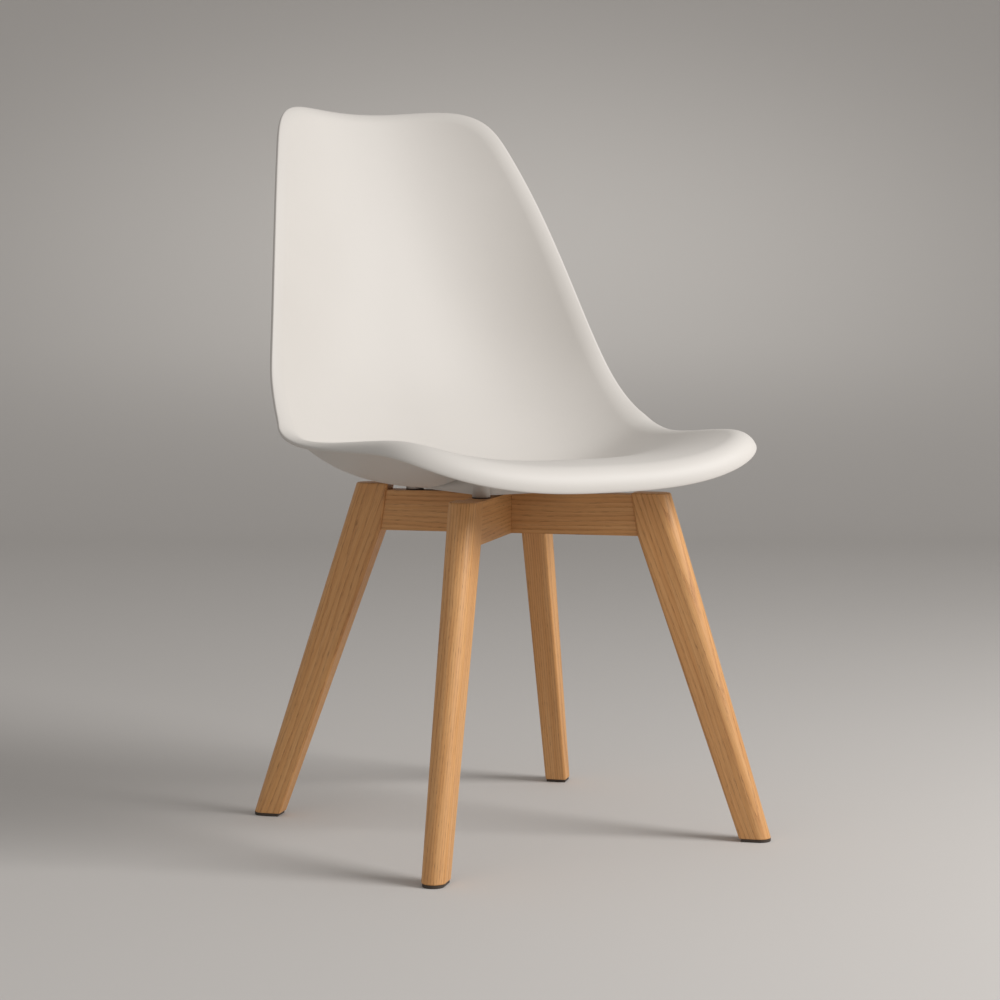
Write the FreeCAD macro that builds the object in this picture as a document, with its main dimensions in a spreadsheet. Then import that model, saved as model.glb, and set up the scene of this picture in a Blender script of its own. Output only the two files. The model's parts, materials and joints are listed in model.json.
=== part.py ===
import FreeCAD, Part
import Sketcher
import math
import os
import re
from FreeCAD import Placement, Rotation, Vector

# Moulded shell chair on a crossed wooden frame, in millimetres.
# The chair faces -Y, +Z is up, and the origin is on the floor under the middle of its outline.
# Its right-hand side, as the sitter has it, is at -X.

document = FreeCAD.newDocument("ShellChair")
os.makedirs("parts", exist_ok=True)

# Driving dimensions
sizes = {
    # cross frame
    "frame_centre_y": -59.3,          # where the two rails cross, from the origin
    "rail_angle": 45,               # degrees between each rail and the chair's own width
    "frame_top": 385,               # height of the rails' top face
    "rail_height": 46,
    "rail_thick": 25,
    "joint_lean": 9,                # degrees off upright of the rails' end faces
    "lap_clearance": 0.2,
    # legs, measured in level sections
    "front_foot_reach": 274,        # crossing to the front legs' inner face, at the floor
    "rear_foot_reach": 267,
    "front_head_reach": 141,        # the same line, carried up to the rails' top
    "rear_head_reach": 124,
    "leg_top_width": 51,            # at the rails' top, before the joint's face is cut
    "leg_top_thick": 31,
    "leg_foot_width": 34,           # at the floor
    "leg_foot_thick": 26,
    "leg_edge_radius": 3,
    "front_leg_gap": 36,            # least room between a front leg's level top and the shell
    "rear_leg_gap": 2,
    "leg_blank_rise": 60,           # how far the blank stands over the rails before its top is cut
    # floor glides and their nails
    "glide_thick": 3.5,
    "glide_inset": 1.2,
    "glide_chamfer": 0.6,
    "nail_diameter": 2.4,
    "nail_length": 20,
    "nail_point": 3,
    "nail_head_diameter": 7,
    "nail_head_thick": 1.2,
    "nail_head_recess": 1.5,
    "nail_clearance": 0.1,
    # dowels between rails and legs
    "dowel_diameter": 8,
    "dowel_in_rail": 20,
    "dowel_in_leg": 18,
    "dowel_pitch": 20,
    "dowel_clearance": 0.1,
    "dowel_end_gap": 1,
    "dowel_chamfer": 1,
    # seat fixings
    "front_bolt_room": 25,          # from the counterbores' side to the upper dowels' hole
    "rear_bolt_room": 5,
    "bolt_diameter": 6,
    "bolt_clearance": 0.3,
    "bolt_engagement": 6.8,         # length inside the insert
    "bolt_thread_clearance": 0.05,
    "bolt_chamfer": 0.8,
    "bolt_head_diameter": 10,
    "bolt_head_height": 6,
    "bolt_socket_across": 5,
    "bolt_socket_depth": 3,
    "counterbore_diameter": 13.6,
    "counterbore_depth": 12,
    "washer_diameter": 12,
    "washer_thick": 1.6,
    "spring_washer_diameter": 11,
    "spring_washer_thick": 1.5,
    "spring_washer_split": 1.2,
    "spacer_diameter": 20,
    "spacer_thick": 1.5,
    "insert_diameter": 8.6,
    "insert_length": 7,
    "insert_collar_diameter": 10.4,
    "insert_collar_thick": 0.8,
    "insert_clearance": 0.05,
    "insert_hole_spare": 0.6,
    "boss_diameter": 20,
    "boss_rib_thick": 2.6,
    "boss_rib_setback": 1.5,        # the ribs end this far above the bosses' faces
    # shell
    "wall": 5,
    "lip_radius": 24,
    "lip_turn_front": 88,           # degrees that the rim turns down at the front
    "lip_turn_side": 38,
    "lip_fade": 505,                # length over which that turn changes
    "front_round": 104,              # length of the rounded front
    "front_fullness": 3.1,          # 2 is an ellipse, more is squarer
    "crown_round": 85,
    "crown_fullness": 3.8,
    "rim_bulge": 3.2,
}

# Cross ribs of the shell's upper face, from its front edge to the top of the back: reach behind
# the crossing, rise over the rails, half width, how far the sides wrap round the sitter, and
# how late across the width that wrap starts.
ribs = {
    "nose": (-226, 36.5, 225, 28.5, 2.45),
    "front": (-167, 45, 226, 33, 2.75),
    "thigh": (-72, 33, 234.5, 42.5, 2.9),
    "seat": (29, 9, 239.5, 65, 3),
    "bend": (108, 19, 236, 73.5, 3.35),
    "hip": (172, 76.5, 225, 72, 2.8),
    "lumbar": (220, 162, 208, 74.5, 2.65),
    "shoulder": (271, 308, 174, 64, 2.2),
    "crown": (332, 444, 129, 48, 2.15),
}
rib_fields = ("reach", "rise", "half", "wrap", "bow")
for rib, values in ribs.items():
    for field, value in zip(rib_fields, values):
        sizes[rib + "_" + field] = value

sheet = document.addObject("Spreadsheet::Sheet", "Sizes")
for row, (name, value) in enumerate(sizes.items(), start=1):
    sheet.set("A%d" % row, name)
    sheet.set("B%d" % row, str(value))
    sheet.setAlias("B%d" % row, name)
document.recompute()


def size(name):
    return float(sheet.get(name))


def linked(text):
    """An expression on size names, pointed at the sheet's cells."""
    return re.sub(r"[a-z_]+", lambda word: "Sizes." + word.group() if word.group() in sizes
                  else word.group(), text)


def worth(text):
    return float(sheet.evalExpression(linked(text)))


# The frame's diagonals: each leg's turn about the upright axis, and whether it is front or rear
corners = {
    "front_right": (180 + size("rail_angle"), "front"),
    "front_left": (360 - size("rail_angle"), "front"),
    "rear_left": (size("rail_angle"), "rear"),
    "rear_right": (180 - size("rail_angle"), "rear"),
}
crossing = Vector(0, size("frame_centre_y"), 0)
upright = Vector(0, 0, 1)
nodes = []


def on_diagonal(turn, reach=0.0, height=0.0):
    """Placement of a piece drawn with +X outwards, set out along a diagonal of the frame."""
    along = Placement(Vector(reach, 0, height), Rotation())
    return Placement(crossing, Rotation(upright, turn)).multiply(along)


def keep(piece, label, placement):
    piece.Label = label
    piece.Placement = placement
    nodes.append(piece)


# Lines that several pieces share, as expressions on the sizes
rail_bottom = "(frame_top - rail_height)"
boss_face = "(frame_top + spacer_thick)"
counterbore_face = "(%s + counterbore_depth)" % rail_bottom
bolt_seat = "(%s - washer_thick - spring_washer_thick)" % counterbore_face
bolt_hole = "(bolt_diameter + 2 * bolt_clearance)"
dowel_hole = "(dowel_diameter + 2 * dowel_clearance)"
dowel_heights = {
    "upper": "(frame_top - rail_height / 2 + dowel_pitch / 2)",
    "lower": "(frame_top - rail_height / 2 - dowel_pitch / 2)",
}


def leg_line(end, height):
    """Distance from the crossing to the inner side of a front or rear leg at a height."""
    return "(%s_foot_reach + (%s_head_reach - %s_foot_reach) * %s / frame_top)" % (
        end, end, end, height)


def joint_face(end, height):
    """The same to the flat where a rail meets the leg, which leans less than the leg does."""
    return "(%s - (%s - %s) * tan(joint_lean))" % (leg_line(end, rail_bottom), height, rail_bottom)


def bolt_reach(end):
    """Distance from the crossing to a front or rear bolt, which keeps its room to the dowels."""
    return "(%s - dowel_in_rail - %s_bolt_room - counterbore_diameter / 2)" % (
        joint_face(end, dowel_heights["upper"]), end)


def leg_measure(which, height):
    """Width or thickness of a leg at a height."""
    return "(leg_foot_%s + (leg_top_%s - leg_foot_%s) * %s / frame_top)" % (
        which, which, which, height)


# Sketching helpers

def new_body(name):
    return document.addObject("PartDesign::Body", name)


def new_sketch(body, plane, lift=None):
    """Sketch on an origin plane of the body, lifted off it by an expression."""
    sketch = body.newObject("Sketcher::SketchObject", body.Name + "_sketch")
    for feature in body.Origin.OriginFeatures:
        if feature.Role == plane:
            sketch.AttachmentSupport = [(feature, "")]
    sketch.MapMode = "FlatFace"
    if lift:
        sketch.setExpression("AttachmentOffset.Base.z", linked(lift))
    return sketch


def hold(sketch, kind, text, *places):
    """Add a dimension and bind it to an expression."""
    index = sketch.addConstraint(Sketcher.Constraint(kind, *places, worth(text)))
    sketch.setExpression("Constraints[%d]" % index, linked(text))


def pin(sketch, edge, end, across, up):
    """Hold a point at two distances from the sketch's origin; 0 puts it on the axis."""
    for kind, text, axis in (("DistanceX", across, -2), ("DistanceY", up, -1)):
        if text == "0":
            sketch.addConstraint(Sketcher.Constraint("PointOnObject", edge, end, axis))
        else:
            hold(sketch, kind, text, -1, 1, edge, end)


def polygon(sketch, outline):
    """Closed outline through corners that are pairs of expressions."""
    points = [Vector(worth(across), worth(up), 0) for across, up in outline]
    count = len(points)
    for i in range(count):
        sketch.addGeometry(Part.LineSegment(points[i], points[(i + 1) % count]), False)
    for i in range(count):
        sketch.addConstraint(Sketcher.Constraint("Coincident", i, 2, (i + 1) % count, 1))
    for i, (across, up) in enumerate(outline):
        pin(sketch, i, 1, across, up)


def circle(sketch, across, up, diameter):
    middle = Vector(worth(across), worth(up), 0)
    edge = sketch.addGeometry(Part.Circle(middle, upright, worth(diameter) / 2), False)
    pin(sketch, edge, 3, across, up)
    hold(sketch, "Diameter", diameter, edge)


def leg_section(sketch, inner, width, thick):
    """Section of a leg: flat towards the crossing, half round on its outer side."""
    middle = "(%s + %s - %s / 2)" % (inner, width, thick)
    side = "(%s / 2)" % thick
    x_inner, x_middle, half = worth(inner), worth(middle), worth(side)
    near, far = Vector(x_inner, -half, 0), Vector(x_inner, half, 0)
    start, end = Vector(x_middle, -half, 0), Vector(x_middle, half, 0)
    round_side = Part.Circle(Vector(x_middle, 0, 0), upright, half)
    sketch.addGeometry(Part.LineSegment(far, near), False)
    sketch.addGeometry(Part.LineSegment(near, start), False)
    sketch.addGeometry(Part.ArcOfCircle(round_side, -math.pi / 2, math.pi / 2), False)
    sketch.addGeometry(Part.LineSegment(end, far), False)
    for i in range(4):
        sketch.addConstraint(Sketcher.Constraint("Coincident", i, 2, (i + 1) % 4, 1))
    pin(sketch, 1, 1, inner, "-" + side)
    pin(sketch, 0, 1, inner, side)
    pin(sketch, 2, 1, middle, "-" + side)
    pin(sketch, 2, 2, middle, side)
    hold(sketch, "DistanceX", middle, -1, 1, 2, 3)


def pad(body, sketch, length=None, symmetric=False):
    feature = body.newObject("PartDesign::Pad", body.Name + "_pad")
    feature.Profile = sketch
    feature.SideType = "Symmetric" if symmetric else "One side"
    feature.setExpression("Length", linked(length))
    document.recompute()
    return feature


def pocket(body, sketch, length=None, reverse=False, symmetric=False):
    """Cut a sketch through all, or to a length, and make sure that it removed something."""
    before = body.Shape.Volume
    feature = body.newObject("PartDesign::Pocket", body.Name + "_pocket")
    feature.Profile = sketch
    feature.Type = "Length" if length else "ThroughAll"
    if length:
        feature.setExpression("Length", linked(length))
    feature.Reversed = reverse
    if symmetric:
        feature.SideType = "Symmetric"
    document.recompute()
    if not body.Shape.Volume < before - 0.01:
        raise RuntimeError(body.Name + ": a pocket cuts nothing")
    return feature


def turned(name, outline):
    """Body turned about its own upright axis from a half outline."""
    body = new_body(name)
    sketch = new_sketch(body, "XZ_Plane")
    polygon(sketch, outline)
    feature = body.newObject("PartDesign::Revolution", name + "_turned")
    feature.Profile = sketch
    feature.ReferenceAxis = (sketch, ["V_Axis"])
    feature.Angle = 360
    document.recompute()
    return body


def ring(name, outer, inner, thick):
    body = new_body(name)
    sketch = new_sketch(body, "XY_Plane")
    circle(sketch, "0", "0", outer)
    circle(sketch, "0", "0", inner)
    pad(body, sketch, thick)
    return body


# Shell: its upper face is a smooth surface over length along the centre line and width x

def smooth_curve(values):
    """Natural cubic spline through values at 0, 1, 2 and so on."""
    last = len(values) - 1
    bends = [0.0] * (last + 1)
    slopes = [0.0] * (last + 1)
    for i in range(1, last):
        pivot = 4.0 - slopes[i - 1]
        slopes[i] = 1.0 / pivot
        step = 6.0 * (values[i - 1] - 2.0 * values[i] + values[i + 1])
        bends[i] = (step - bends[i - 1]) / pivot
    for i in range(last - 1, 0, -1):
        bends[i] -= slopes[i] * bends[i + 1]

    def curve(at):
        i = min(max(int(at), 0), last - 1)
        f = at - i
        g = 1.0 - f
        return (g * values[i] + f * values[i + 1]
                + ((g ** 3 - g) * bends[i] + (f ** 3 - f) * bends[i + 1]) / 6.0)

    return curve


rib_curves = {}
for field in rib_fields:
    rib_curves[field] = smooth_curve([size(rib + "_" + field) for rib in ribs])
rib_count = len(ribs) - 1
length_steps = 400
length_table = [0.0]
for step in range(length_steps):
    low, high = rib_count * step / length_steps, rib_count * (step + 1) / length_steps
    run = [rib_curves[field](high) - rib_curves[field](low) for field in ("reach", "rise")]
    length_table.append(length_table[-1] + math.hypot(run[0], run[1]))
shell_length = length_table[-1]


def rib_place(length):
    """Where between the ribs a length along the centre line falls."""
    low, high = 0, length_steps
    while high - low > 1:
        middle = (low + high) // 2
        if length_table[middle] <= length:
            low = middle
        else:
            high = middle
    part = (length - length_table[low]) / (length_table[low + 1] - length_table[low])
    return rib_count * (low + part) / length_steps


def base_point(length, x):
    """Upper face before its rim is turned down."""
    place = rib_place(length)
    reach, rise, half, wrap, bow = [rib_curves[field](place) for field in rib_fields]
    step = 0.01
    run_y = rib_curves["reach"](place + step) - rib_curves["reach"](place - step)
    run_z = rib_curves["rise"](place + step) - rib_curves["rise"](place - step)
    run = math.hypot(run_y, run_z)
    lift = wrap * (abs(x) / half) ** bow
    return Vector(x, reach - lift * run_z / run, size("frame_top") + rise + lift * run_y / run)


def half_outline():
    """Half of the outline, as lengths and widths, from the front centre to the crown centre."""
    steps = 24
    outline = []
    front, crown = size("front_round"), size("crown_round")
    for k in range(steps + 1):
        angle = math.pi / 2 * k / steps
        power = 2.0 / size("front_fullness")
        length = front * (1 - math.cos(angle) ** power)
        outline.append((length, math.sin(angle) ** power))
    straight = shell_length - front - crown
    for k in range(1, 2 * steps):
        outline.append((front + straight * k / (2 * steps), 1.0))
    for k in range(steps, -1, -1):
        angle = math.pi / 2 * k / steps
        power = 2.0 / size("crown_fullness")
        length = shell_length - crown * (1 - math.cos(angle) ** power)
        outline.append((length, math.sin(angle) ** power))
    widths = [rib_curves["half"](rib_place(length)) for length, share in outline]
    return [(length, share * width) for (length, share), width in zip(outline, widths)], steps


shell_outline, outline_steps = half_outline()


def to_outline(length, x):
    """Distance to the outline, and the unit direction outwards there."""
    best = None
    side = -1.0 if x < 0 else 1.0
    here_l, here_x = length, abs(x)
    for (l0, x0), (l1, x1) in zip(shell_outline, shell_outline[1:]):
        run_l, run_x = l1 - l0, x1 - x0
        run = run_l * run_l + run_x * run_x
        if run == 0.0:
            continue
        part = ((here_l - l0) * run_l + (here_x - x0) * run_x) / run
        part = min(max(part, 0.0), 1.0)
        away_l, away_x = l0 + part * run_l - here_l, x0 + part * run_x - here_x
        gap = math.hypot(away_l, away_x)
        if best is None or gap < best[0]:
            run = math.sqrt(run)
            best = (gap, -run_x / run, run_l / run)
    return best[0], best[1], side * best[2]


def rim_turn(length):
    """Angle by which the rim is turned down at a length."""
    fade = min(max(1.0 - length / size("lip_fade"), 0.0), 1.0)
    fade = fade * fade * (3.0 - 2.0 * fade)
    side = size("lip_turn_side")
    return math.radians(side + (size("lip_turn_front") - side) * fade)


def shell_point(length, x, depth):
    """Point at a depth under the upper face, and the direction outwards along that face."""
    nudge = 0.5
    middle = base_point(length, x)
    along = base_point(length + nudge, x) - base_point(length - nudge, x)
    across = base_point(length, x + nudge) - base_point(length, x - nudge)
    normal = across.cross(along).normalize()
    gap, out_length, out_x = to_outline(length, x)
    outwards = (along.normalize() * out_length + across.normalize() * out_x).normalize()
    radius = size("lip_radius")
    offset = max(radius * math.sin(rim_turn(length)) - gap, 0.0)
    angle = math.asin(offset / radius)
    tilted = normal * math.cos(angle) + outwards * math.sin(angle)
    point = middle - normal * (radius * (1.0 - math.cos(angle))) - tilted * depth
    return point, outwards * math.cos(angle) - normal * math.sin(angle)


def underside(x, y):
    """Height of the seat's lower face over a place that is given from the crossing."""
    seat_share = 0.55
    low, high = 0.0, shell_length * seat_share
    for _ in range(30):
        middle = (low + high) / 2
        point = shell_point(middle, x, size("wall"))[0]
        if point.y < y:
            low = middle
        else:
            high = middle
    return point.z


def share_out(points, shares):
    """Points at given shares of the way along a chain of points."""
    ways = [0.0]
    for (l0, x0), (l1, x1) in zip(points, points[1:]):
        ways.append(ways[-1] + math.hypot(l1 - l0, x1 - x0))
    chosen = []
    i = 0
    for share in shares:
        way = share * ways[-1]
        while i < len(ways) - 2 and ways[i + 1] < way:
            i += 1
        part = (way - ways[i]) / (ways[i + 1] - ways[i])
        (l0, x0), (l1, x1) = points[i], points[i + 1]
        chosen.append((l0 + part * (l1 - l0), x0 + part * (x1 - x0)))
    return chosen


def shell_grid(rows, columns):
    """Lengths and widths on a grid that fills the outline, close together at its rim."""
    down = [(1 - math.cos(math.pi * i / rows)) / 2 for i in range(rows + 1)]
    wide = [(1 - math.cos(math.pi * j / columns)) / 2 for j in range(columns + 1)]
    first, second = outline_steps // 2, len(shell_outline) - 1 - outline_steps // 2
    mirrored = [(length, -x) for length, x in shell_outline]
    front = share_out(mirrored[first::-1] + shell_outline[1:first + 1], wide)
    crown = share_out(mirrored[second:] + shell_outline[-2:second - 1:-1], wide)
    right = share_out(mirrored[first:second + 1], down)
    left = share_out(shell_outline[first:second + 1], down)
    grid = []
    for i, a in enumerate(down):
        line = []
        for j, b in enumerate(wide):
            cell = []
            for axis in (0, 1):
                sides = (1 - b) * right[i][axis] + b * left[i][axis]
                ends = (1 - a) * front[j][axis] + a * crown[j][axis]
                plane = ((1 - a) * ((1 - b) * front[0][axis] + b * front[-1][axis])
                         + a * ((1 - b) * crown[0][axis] + b * crown[-1][axis]))
                cell.append(sides + ends - plane)
            line.append(tuple(cell))
        grid.append(line)
    return grid


def spline_surface(poles, degree_down=3, degree_wide=3):
    knots = []
    for count, degree in ((len(poles), degree_down), (len(poles[0]), degree_wide)):
        spans = count - degree
        knots.append(([degree + 1] + [1] * (spans - 1) + [degree + 1], list(range(spans + 1))))
    surface = Part.BSplineSurface()
    surface.buildFromPolesMultsKnots(poles, knots[0][0], knots[1][0], knots[0][1], knots[1][1],
                                     False, False, degree_down, degree_wide)
    return surface


def fitted_poles(targets):
    """Poles of a cubic surface that passes through a grid of points."""
    def stations(count):
        spans = count - 3
        return [0.0, 1 / 3] + [float(k) for k in range(1, spans)] + [spans - 1 / 3, float(spans)]

    down, wide = stations(len(targets)), stations(len(targets[0]))
    poles = [[Vector(point) for point in line] for line in targets]
    steps = 14
    for _ in range(steps):
        surface = spline_surface(poles)
        for i, u in enumerate(down):
            for j, v in enumerate(wide):
                poles[i][j] = poles[i][j] + targets[i][j] - surface.value(u, v)
    return poles


def shell_skin():
    """Closed skin of the shell: upper face, lower face and a rounded rim between them."""
    grid = shell_grid(rows=34, columns=26)
    upper, lower, out = [], [], []
    for line in grid:
        tops = [shell_point(length, x, 0.0) for length, x in line]
        upper.append([point for point, outwards in tops])
        out.append([outwards for point, outwards in tops])
        lower.append([shell_point(length, x, size("wall"))[0] for length, x in line])
    upper, lower = fitted_poles(upper), fitted_poles(lower)
    faces = [spline_surface(upper).toShape(), spline_surface(lower).toShape()]

    def rim(tops, bottoms, outwards):
        edge = []
        for top, bottom, direction in zip(tops, bottoms, outwards):
            edge.append([top, (top + bottom) * 0.5 + direction * size("rim_bulge"), bottom])
        faces.append(spline_surface(edge, 3, 2).toShape())

    rim(upper[0], lower[0], out[0])
    rim(upper[-1], lower[-1], out[-1])
    for side in (0, -1):
        rim([line[side] for line in upper], [line[side] for line in lower],
            [line[side] for line in out])
    skin = Part.Compound(faces)
    skin.sewShape()
    solid = Part.Solid(Part.Shell(skin.Faces))
    if solid.Volume < 0:
        solid.reverse()
    return solid


def rib_between(start, end):
    """Upright rib under the seat between two bosses, its top edge inside the wall."""
    face = worth(boss_face) + size("boss_rib_setback")
    steps = 6
    top = []
    for k in range(steps + 1):
        spot = start + (end - start) * (k / steps)
        top.append(Vector(spot.x, spot.y, underside(spot.x, spot.y) + size("wall") / 2))
    low = [Vector(end.x, end.y, face), Vector(start.x, start.y, face)]
    side = (end - start).normalize().cross(upright) * size("boss_rib_thick")
    plate = Part.Face(Part.makePolygon(top + low + [top[0]]))
    plate.translate(side * -0.5)
    return plate.extrude(side)


def make_shell():
    face = worth(boss_face)
    spots = []
    for turn, end in corners.values():
        spots.append(Rotation(upright, turn).multVec(Vector(worth(bolt_reach(end)), 0, 0)))
    added, cut = [], []
    slack = size("insert_clearance")
    for spot in spots:
        foot = Vector(spot.x, spot.y, face)
        top = underside(spot.x, spot.y) + size("wall") / 2
        added.append(Part.makeCylinder(size("boss_diameter") / 2, top - face, foot))
        hole = size("insert_diameter") / 2 + slack
        deep = size("insert_length") + size("insert_hole_spare")
        cut.append(Part.makeCylinder(hole, deep, foot))
        recess = size("insert_collar_diameter") / 2 + slack
        cut.append(Part.makeCylinder(recess, size("insert_collar_thick") + slack, foot))
    for i, spot in enumerate(spots):
        added.append(rib_between(spot, spots[(i + 1) % len(spots)]))
    solid = shell_skin()
    for mounting in added:
        solid = solid.fuse(mounting)
    solid = solid.cut(cut).removeSplitter()
    shell = document.addObject("Part::Feature", "SeatShell")
    shell.Shape = solid.Solids[0] if len(solid.Solids) == 1 else solid
    keep(shell, "seat_shell", Placement(crossing, Rotation()))


# Legs

def leg_top(turn, end):
    """Height of a leg's level top, which clears the shell's lower face by the leg's gap."""
    height = size("frame_top")
    for _ in range(3):
        here = "(%f)" % height
        inner, width = worth(joint_face(end, here)), worth(leg_measure("width", here))
        outer = worth(leg_line(end, here)) + width
        half = worth(leg_measure("thick", here)) / 2
        heights = []
        for reach in (inner, (inner + outer) / 2, outer):
            for sideways in (-half, 0, half):
                spot = Rotation(upright, turn).multVec(Vector(reach, sideways, 0))
                heights.append(underside(spot.x, spot.y))
        height = min(heights) - size(end + "_leg_gap")
    return height


def make_leg(corner, turn, end):
    body = new_body("Leg_" + corner)
    blank_top = "(frame_top + leg_blank_rise)"
    sections = []
    for height in ("glide_thick", blank_top):
        sketch = new_sketch(body, "XY_Plane", height)
        leg_section(sketch, leg_line(end, height), leg_measure("width", height),
                    leg_measure("thick", height))
        sections.append(sketch)
    blank = body.newObject("PartDesign::AdditiveLoft", body.Name + "_blank")
    blank.Profile = sections[0]
    blank.Sections = [sections[1]]
    blank.Ruled = True
    document.recompute()

    top, reach = "(%f)" % leg_top(turn, end), "(2 * %s_foot_reach)" % end
    cut = new_sketch(body, "XZ_Plane")
    polygon(cut, [("0", top), (reach, top), (reach, "2 * " + blank_top), ("0", "2 * " + blank_top)])
    pocket(body, cut, symmetric=True)
    flat = new_sketch(body, "XZ_Plane")
    polygon(flat, [("0", rail_bottom), (leg_line(end, rail_bottom), rail_bottom),
                   (joint_face(end, blank_top), blank_top), ("0", blank_top)])
    topped = pocket(body, flat, symmetric=True)

    edges = []
    for number, edge in enumerate(topped.Shape.Edges, start=1):
        ends = [vertex.Point for vertex in edge.Vertexes]
        lowest = min(ends, key=lambda point: point.z)
        upright_run = max(point.z for point in ends) - lowest.z
        inner = worth(leg_line(end, "(%f)" % lowest.z)) + 1
        if upright_run > size("rail_height") / 2 and lowest.x < inner:
            edges.append("Edge%d" % number)
    if len(edges) != 4:
        raise RuntimeError(corner + " leg: its four inner edges were not found")
    fillet = body.newObject("PartDesign::Fillet", body.Name + "_edges")
    fillet.Base = (topped, edges)
    fillet.setExpression("Radius", linked("leg_edge_radius"))
    document.recompute()

    for height in dowel_heights.values():
        hole = new_sketch(body, "YZ_Plane", "%s + dowel_in_leg" % joint_face(end, height))
        circle(hole, "0", height, dowel_hole)
        pocket(body, hole)
    nail_hole = new_sketch(body, "XY_Plane", "nail_head_recess + nail_length")
    middle = "(%s_foot_reach + leg_foot_width / 2)" % end
    circle(nail_hole, middle, "0", "nail_diameter + 2 * nail_clearance")
    pocket(body, nail_hole)
    keep(body, "leg_" + corner, on_diagonal(turn))


# Cross rails: one carries its notch below, the other above, and they lap at the crossing

def make_rail(name, turn, notch_up):
    body = new_body(name)
    widening = "(1 + abs(cos(2 * rail_angle))) / sin(2 * rail_angle)"
    half_notch = "(rail_thick / 2 * %s + lap_clearance)" % widening
    side = "frame_top" if notch_up else rail_bottom
    depth = "(rail_height + lap_clearance) / 2"
    notch_floor = "(frame_top - %s)" % depth if notch_up else "(%s + %s)" % (rail_bottom, depth)
    notch = [(half_notch, side), (half_notch, notch_floor),
             ("-" + half_notch, notch_floor), ("-" + half_notch, side)]
    front_low = joint_face("front", rail_bottom)
    rear_low = "-" + joint_face("rear", rail_bottom)
    front_end = [(joint_face("front", "frame_top"), "frame_top"), (front_low, rail_bottom)]
    rear_end = [(rear_low, rail_bottom), ("-" + joint_face("rear", "frame_top"), "frame_top")]
    if notch_up:
        outline = front_end + rear_end + notch[::-1]
    else:
        outline = front_end + notch + rear_end
    sketch = new_sketch(body, "XZ_Plane")
    polygon(sketch, outline)
    pad(body, sketch, "rail_thick", symmetric=True)

    for height in dowel_heights.values():
        front_hole = new_sketch(body, "YZ_Plane",
                                "%s - dowel_in_rail" % joint_face("front", height))
        circle(front_hole, "0", height, dowel_hole)
        pocket(body, front_hole, reverse=True)
        rear_hole = new_sketch(body, "YZ_Plane",
                               "dowel_in_rail - %s" % joint_face("rear", height))
        circle(rear_hole, "0", height, dowel_hole)
        pocket(body, rear_hole)
    holes = new_sketch(body, "XY_Plane")
    circle(holes, bolt_reach("front"), "0", bolt_hole)
    circle(holes, "-" + bolt_reach("rear"), "0", bolt_hole)
    pocket(body, holes, reverse=True)
    counterbores = new_sketch(body, "XY_Plane", counterbore_face)
    circle(counterbores, bolt_reach("front"), "0", "counterbore_diameter")
    circle(counterbores, "-" + bolt_reach("rear"), "0", "counterbore_diameter")
    pocket(body, counterbores)
    keep(body, name, on_diagonal(turn))


# Dowels, two at each joint, lying level across the joint's face

def make_dowels(corner, turn, end):
    for level, height in dowel_heights.items():
        peg = document.addObject("Part::Cylinder", "Peg_%s_%s" % (corner, level))
        peg.setExpression("Radius", linked("dowel_diameter / 2"))
        peg.setExpression("Height", linked("dowel_in_rail + dowel_in_leg - 2 * dowel_end_gap"))
        dowel = document.addObject("Part::Chamfer", "Dowel_%s_%s" % (corner, level))
        dowel.Base = peg
        document.recompute()
        chamfer = size("dowel_chamfer")
        dowel.Edges = [(number, chamfer, chamfer) for number, edge
                       in enumerate(peg.Shape.Edges, start=1) if edge.Closed]
        document.recompute()
        start = worth("%s - dowel_in_rail + dowel_end_gap" % joint_face(end, height))
        lying = Placement(Vector(), Rotation(Vector(0, 1, 0), 90))
        place = on_diagonal(turn, start, worth(height)).multiply(lying)
        keep(dowel, "dowel_%s_%s" % (corner, level), place)


# Floor glides and the nails that hold them

def make_glide(corner, turn, end):
    body = new_body("Glide_" + corner)
    sketch = new_sketch(body, "XY_Plane")
    leg_section(sketch, "(%s_foot_reach + glide_inset)" % end,
                "(leg_foot_width - 2 * glide_inset)", "(leg_foot_thick - 2 * glide_inset)")
    plate = pad(body, sketch, "glide_thick")
    bottom = [number for number, face in enumerate(plate.Shape.Faces, start=1)
              if face.BoundBox.ZMax < 0.01]
    chamfer = body.newObject("PartDesign::Chamfer", body.Name + "_chamfer")
    chamfer.Base = (plate, ["Face%d" % number for number in bottom])
    chamfer.setExpression("Size", linked("glide_chamfer"))
    document.recompute()
    middle = "(%s_foot_reach + leg_foot_width / 2)" % end
    hole = new_sketch(body, "XY_Plane", "glide_thick")
    circle(hole, middle, "0", "nail_diameter + 2 * nail_clearance")
    pocket(body, hole)
    recess = new_sketch(body, "XY_Plane", "nail_head_recess + nail_head_thick")
    circle(recess, middle, "0", "nail_head_diameter + 2 * nail_clearance")
    pocket(body, recess)
    keep(body, "floor_glide_" + corner, on_diagonal(turn))


def make_nail(corner, turn, end):
    body = turned("Nail_" + corner, [
        ("0", "0.0"),
        ("nail_head_diameter / 2", "0.0"),
        ("nail_head_diameter / 2", "nail_head_thick"),
        ("nail_diameter / 2", "nail_head_thick"),
        ("nail_diameter / 2", "nail_length - nail_point"),
        ("0", "nail_length"),
    ])
    middle = worth("%s_foot_reach + leg_foot_width / 2" % end)
    keep(body, "glide_nail_" + corner, on_diagonal(turn, middle, size("nail_head_recess")))


# Seat fixings: bolt, flat washer, spring washer, rubber spacer and threaded insert

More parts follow.
